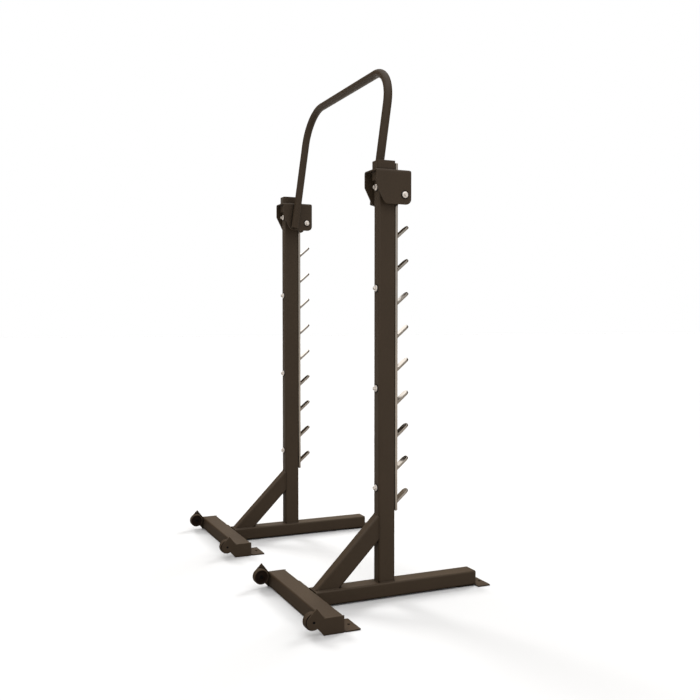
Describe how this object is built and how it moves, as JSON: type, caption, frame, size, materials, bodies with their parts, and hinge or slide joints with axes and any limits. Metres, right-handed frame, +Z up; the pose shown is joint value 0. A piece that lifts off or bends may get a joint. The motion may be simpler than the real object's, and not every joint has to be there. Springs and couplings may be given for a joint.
{
  "type": "squat stand",
  "caption": "Pair of wheeled squat stands with ladders of bar hooks, joined overhead by a bent tubular arch on bolted saddle brackets.",
  "frame": {"origin": "on the floor, at the middle of the whole object's box", "axes": "+X from the left stand to the right one, as the lifter sees them when facing the wheels; -Y towards the lifter; +Z up"},
  "size_m": [1.82, 0.976, 2.2937],
  "materials": {
    "powder_coat": "satin dark bronze-brown powder coat",
    "rail_steel": "bright zinc-plated steel",
    "bolt_steel": "bright plated screws",
    "dark_steel": "blackened steel",
    "wheel_rubber": "matt black rubber",
    "cap_plastic": "moulded brown plastic"
  },
  "bodies": {
    "root": {"arch": "powder_coat", "left_base_end_cap": "cap_plastic", "left_base_tube": "powder_coat", "left_brace": "powder_coat", "left_collar": "powder_coat", "left_cross_bolt": "bolt_steel", "left_cross_bolt_nut": "bolt_steel", "left_cross_bolt_sleeve": "dark_steel", "left_cross_foot": "powder_coat", "left_hook_rail": "rail_steel", "left_inner_anchor": "powder_coat", "left_inner_axle": "dark_steel", "left_inner_end_plate": "powder_coat", "left_outer_anchor": "powder_coat", "left_outer_axle": "dark_steel", "left_outer_end_plate": "powder_coat", "left_rail_bolt_1": "bolt_steel", "left_rail_bolt_2": "bolt_steel", "left_rail_bolt_3": "bolt_steel", "left_rail_bolt_4": "bolt_steel", "left_rear_anchor": "powder_coat", "left_saddle_bracket": "powder_coat", "left_upright": "powder_coat", "left_upright_plug": "cap_plastic", "right_base_end_cap": "cap_plastic", "right_base_tube": "powder_coat", "right_brace": "powder_coat", "right_collar": "powder_coat", "right_cross_bolt": "bolt_steel", "right_cross_bolt_nut": "bolt_steel", "right_cross_bolt_sleeve": "dark_steel", "right_cross_foot": "powder_coat", "right_hook_rail": "rail_steel", "right_inner_anchor": "powder_coat", "right_inner_axle": "dark_steel", "right_inner_end_plate": "powder_coat", "right_outer_anchor": "powder_coat", "right_outer_axle": "dark_steel", "right_outer_end_plate": "powder_coat", "right_rail_bolt_1": "bolt_steel", "right_rail_bolt_2": "bolt_steel", "right_rail_bolt_3": "bolt_steel", "right_rail_bolt_4": "bolt_steel", "right_rear_anchor": "powder_coat", "right_saddle_bracket": "powder_coat", "right_upright": "powder_coat", "right_upright_plug": "cap_plastic"},
    "left_inner_wheel": {"left_inner_wheel": "wheel_rubber"},
    "left_outer_wheel": {"left_outer_wheel": "wheel_rubber"},
    "right_inner_wheel": {"right_inner_wheel": "wheel_rubber"},
    "right_outer_wheel": {"right_outer_wheel": "wheel_rubber"}
  },
  "joints": [
    {"name": "left_inner_wheel_spin", "type": "hinge", "parent": "root", "child": "left_inner_wheel", "pos_m": [-0.273, 0.455, 0.054], "axis": [1, 0, 0], "continuous": true},
    {"name": "left_outer_wheel_spin", "type": "hinge", "parent": "root", "child": "left_outer_wheel", "pos_m": [-0.887, 0.455, 0.054], "axis": [1, 0, 0], "continuous": true},
    {"name": "right_inner_wheel_spin", "type": "hinge", "parent": "root", "child": "right_inner_wheel", "pos_m": [0.273, 0.455, 0.054], "axis": [1, 0, 0], "continuous": true},
    {"name": "right_outer_wheel_spin", "type": "hinge", "parent": "root", "child": "right_outer_wheel", "pos_m": [0.887, 0.455, 0.054], "axis": [1, 0, 0], "continuous": true}
  ]
}
